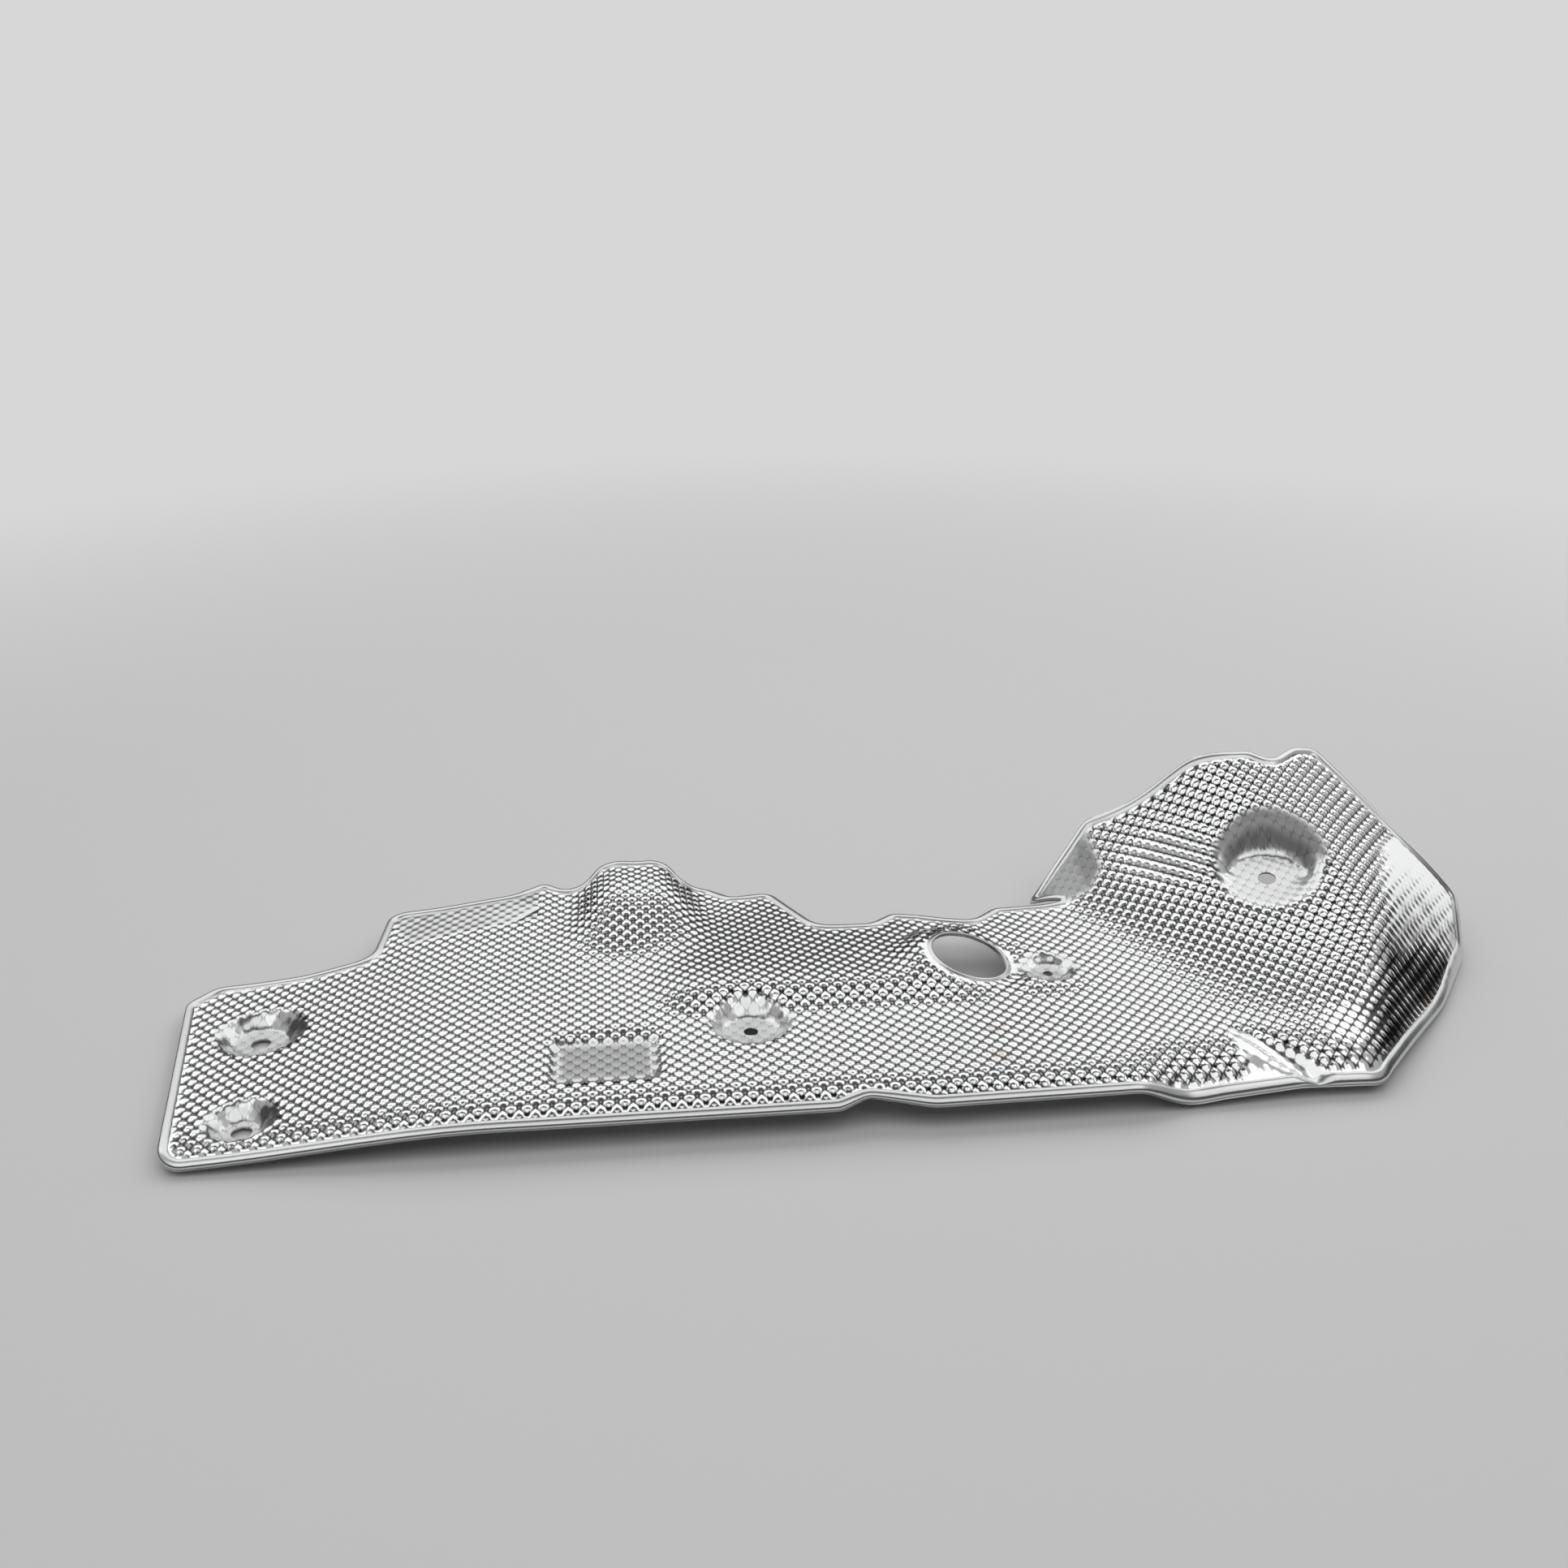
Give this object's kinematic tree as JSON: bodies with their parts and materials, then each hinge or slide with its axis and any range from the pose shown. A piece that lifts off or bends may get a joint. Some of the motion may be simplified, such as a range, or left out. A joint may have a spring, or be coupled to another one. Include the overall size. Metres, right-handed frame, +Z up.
{
  "type": "heat shield",
  "caption": "Long pressed aluminium heat shield with a folded hem, recessed bolt seats, a large round hole and a raised sloping end.",
  "frame": {"origin": "under the middle of the outline's box, on the floor that the shield lies on", "axes": "+X along the straight front edge towards the raised end, +Y to the rear edge, +Z up from the floor"},
  "size_m": [0.6828, 0.2376, 0.0884],
  "materials": {
    "embossed_aluminium": "bright mill finish with an all-over domed emboss"
  },
  "bodies": {
    "root": {"heat_shield": "embossed_aluminium"}
  },
  "joints": []
}
